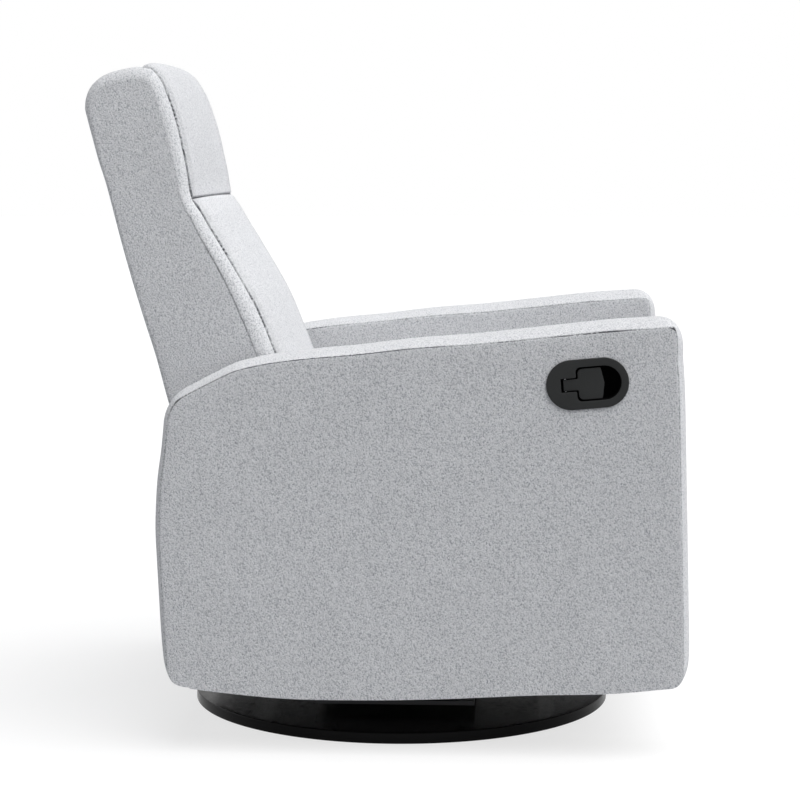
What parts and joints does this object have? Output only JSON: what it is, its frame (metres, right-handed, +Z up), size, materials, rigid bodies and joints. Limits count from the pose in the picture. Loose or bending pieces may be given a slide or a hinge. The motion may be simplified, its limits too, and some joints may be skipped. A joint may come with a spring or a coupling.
{
  "type": "swivel glider recliner",
  "caption": "Upholstered reclining armchair that glides on hanging links and swivels on a round floor disc, with a fold-out footrest and a pull paddle in one arm.",
  "frame": {"origin": "on the floor, under the swivel axis", "axes": "+Z up along the swivel axis; -Y is forward, the way the chair faces; +X is the sitter's left"},
  "size_m": [0.819, 0.906, 1.0293],
  "materials": {
    "felted_fabric": "felted melange woven upholstery cloth over foam",
    "lacquered_board": "black satin lacquer",
    "rubber": "matt moulded",
    "painted_steel": "black powder coat",
    "zinc_steel": "zinc plated",
    "plywood": "bare birch plywood",
    "moulded_plastic": "charcoal, fine grain",
    "cable_sheath": "black sheath"
  },
  "bodies": {
    "base": {"base_mat": "rubber", "base_disc": "lacquered_board", "swivel_lower_plate": "zinc_steel", "swivel_ball_ring": "zinc_steel"},
    "turntable": {"cradle_plate": "painted_steel", "cradle_upright_left": "painted_steel", "cradle_upright_right": "painted_steel"},
    "front_links": {"glide_link_front_left": "zinc_steel", "glide_link_front_right": "zinc_steel"},
    "rear_links": {"glide_link_rear_left": "zinc_steel", "glide_link_rear_right": "zinc_steel"},
    "chassis": {"glide_rail_left": "painted_steel", "glide_rail_right": "painted_steel", "cross_rail_front": "painted_steel", "cross_rail_rear": "painted_steel", "side_plate_left": "painted_steel", "side_plate_right": "painted_steel", "arm_cover_left": "felted_fabric", "arm_cover_right": "felted_fabric", "arm_board_left": "plywood", "arm_board_right": "plywood", "arm_post_front_left": "plywood", "arm_post_front_right": "plywood", "arm_post_rear_left": "plywood", "arm_post_rear_right": "plywood", "lower_rear_panel": "felted_fabric", "release_cup": "moulded_plastic", "release_pin": "zinc_steel", "release_spring": "zinc_steel", "release_cable": "cable_sheath"},
    "paddle": {"release_paddle": "moulded_plastic"},
    "latch": {"latch_pawl": "zinc_steel"},
    "seat": {"seat_rail_left": "painted_steel", "seat_rail_right": "painted_steel", "seat_slat_front": "plywood", "seat_slat_rear": "plywood", "seat_spring_1": "zinc_steel", "seat_spring_2": "zinc_steel", "seat_spring_3": "zinc_steel", "seat_cushion": "felted_fabric"},
    "back": {"back_shell": "felted_fabric", "headrest_cushion": "felted_fabric", "lumbar_cushion": "felted_fabric", "back_upright_left": "painted_steel", "back_upright_right": "painted_steel", "back_rail_bottom": "plywood", "back_rail_top": "plywood", "back_spring_1": "zinc_steel", "back_spring_2": "zinc_steel"},
    "footrest_drive": {"footrest_drive_tube": "painted_steel", "footrest_drive_link_left": "zinc_steel", "footrest_drive_link_right": "zinc_steel"},
    "footrest_pad_links": {"footrest_pad_link_left": "zinc_steel", "footrest_pad_link_right": "zinc_steel"},
    "footrest_control_links": {"footrest_control_link_left": "zinc_steel", "footrest_control_link_right": "zinc_steel"},
    "footrest": {"footrest_board": "plywood", "footrest_bracket_left": "painted_steel", "footrest_bracket_right": "painted_steel", "footrest_pad": "felted_fabric"}
  },
  "joints": [
    {"name": "swivel", "type": "hinge", "parent": "base", "child": "turntable", "pos_m": [0, 0, 0.03], "axis": [0, 0, 1], "continuous": true},
    {"name": "glide", "type": "hinge", "parent": "turntable", "child": "front_links", "pos_m": [0, -0.105, 0.262], "axis": [-1, 0, 0], "range_deg": [-20, 20]},
    {"name": "glide_rear_pivot", "type": "hinge", "parent": "turntable", "child": "rear_links", "pos_m": [0, 0.105, 0.262], "axis": [-1, 0, 0], "range_deg": [-20, 20]},
    {"name": "glide_chassis_pivot", "type": "hinge", "parent": "front_links", "child": "chassis", "pos_m": [0, -0.105, 0.112], "axis": [-1, 0, 0], "range_deg": [-20, 20]},
    {"name": "recline", "type": "hinge", "parent": "seat", "child": "back", "pos_m": [0, 0.225, 0.38], "axis": [-1, 0, 0], "range_deg": [0, 40]},
    {"name": "seat_slide", "type": "slide", "parent": "chassis", "child": "seat", "axis": [0, -1, 0], "range_m": [0, 0.046]},
    {"name": "footrest_open", "type": "hinge", "parent": "chassis", "child": "footrest_drive", "pos_m": [0, -0.33, 0.304], "axis": [-1, 0, 0], "range_deg": [0, 108]},
    {"name": "footrest_elbow", "type": "hinge", "parent": "footrest_drive", "child": "footrest_pad_links", "pos_m": [0, -0.30135, 0.14151], "axis": [-1, 0, 0], "range_deg": [-148.5, 0]},
    {"name": "footrest_hitch", "type": "hinge", "parent": "footrest_pad_links", "child": "footrest", "pos_m": [0, -0.35379, 0.27131], "axis": [-1, 0, 0], "range_deg": [0, 125.5]},
    {"name": "footrest_control_pivot", "type": "hinge", "parent": "chassis", "child": "footrest_control_links", "pos_m": [0, -0.2815, 0.296], "axis": [-1, 0, 0], "range_deg": [0, 93]},
    {"name": "release_lever", "type": "hinge", "parent": "chassis", "child": "paddle", "pos_m": [-0.403, -0.25912, 0.55321], "axis": [0, -0.0872, -0.9962], "range_deg": [0, 35], "stiffness_Nm_per_rad": 0.6, "springref_deg": -17.19},
    {"name": "latch_release", "type": "hinge", "parent": "chassis", "child": "latch", "pos_m": [-0.237, -0.258, 0.273], "axis": [-1, 0, 0], "range_deg": [-20, 0]}
  ],
  "couplings": [
    {"joint": "glide_rear_pivot", "follows": "glide", "ratio": 1},
    {"joint": "glide_chassis_pivot", "follows": "glide", "ratio": -1},
    {"joint": "seat_slide", "follows": "recline", "m_per_rad": 0.064458},
    {"joint": "footrest_elbow", "follows": "footrest_open", "ratio": -1.3704},
    {"joint": "footrest_hitch", "follows": "footrest_open", "ratio": 1.1574},
    {"joint": "footrest_control_pivot", "follows": "footrest_open", "ratio": 0.85664},
    {"joint": "latch_release", "follows": "release_lever", "ratio": -0.5}
  ]
}
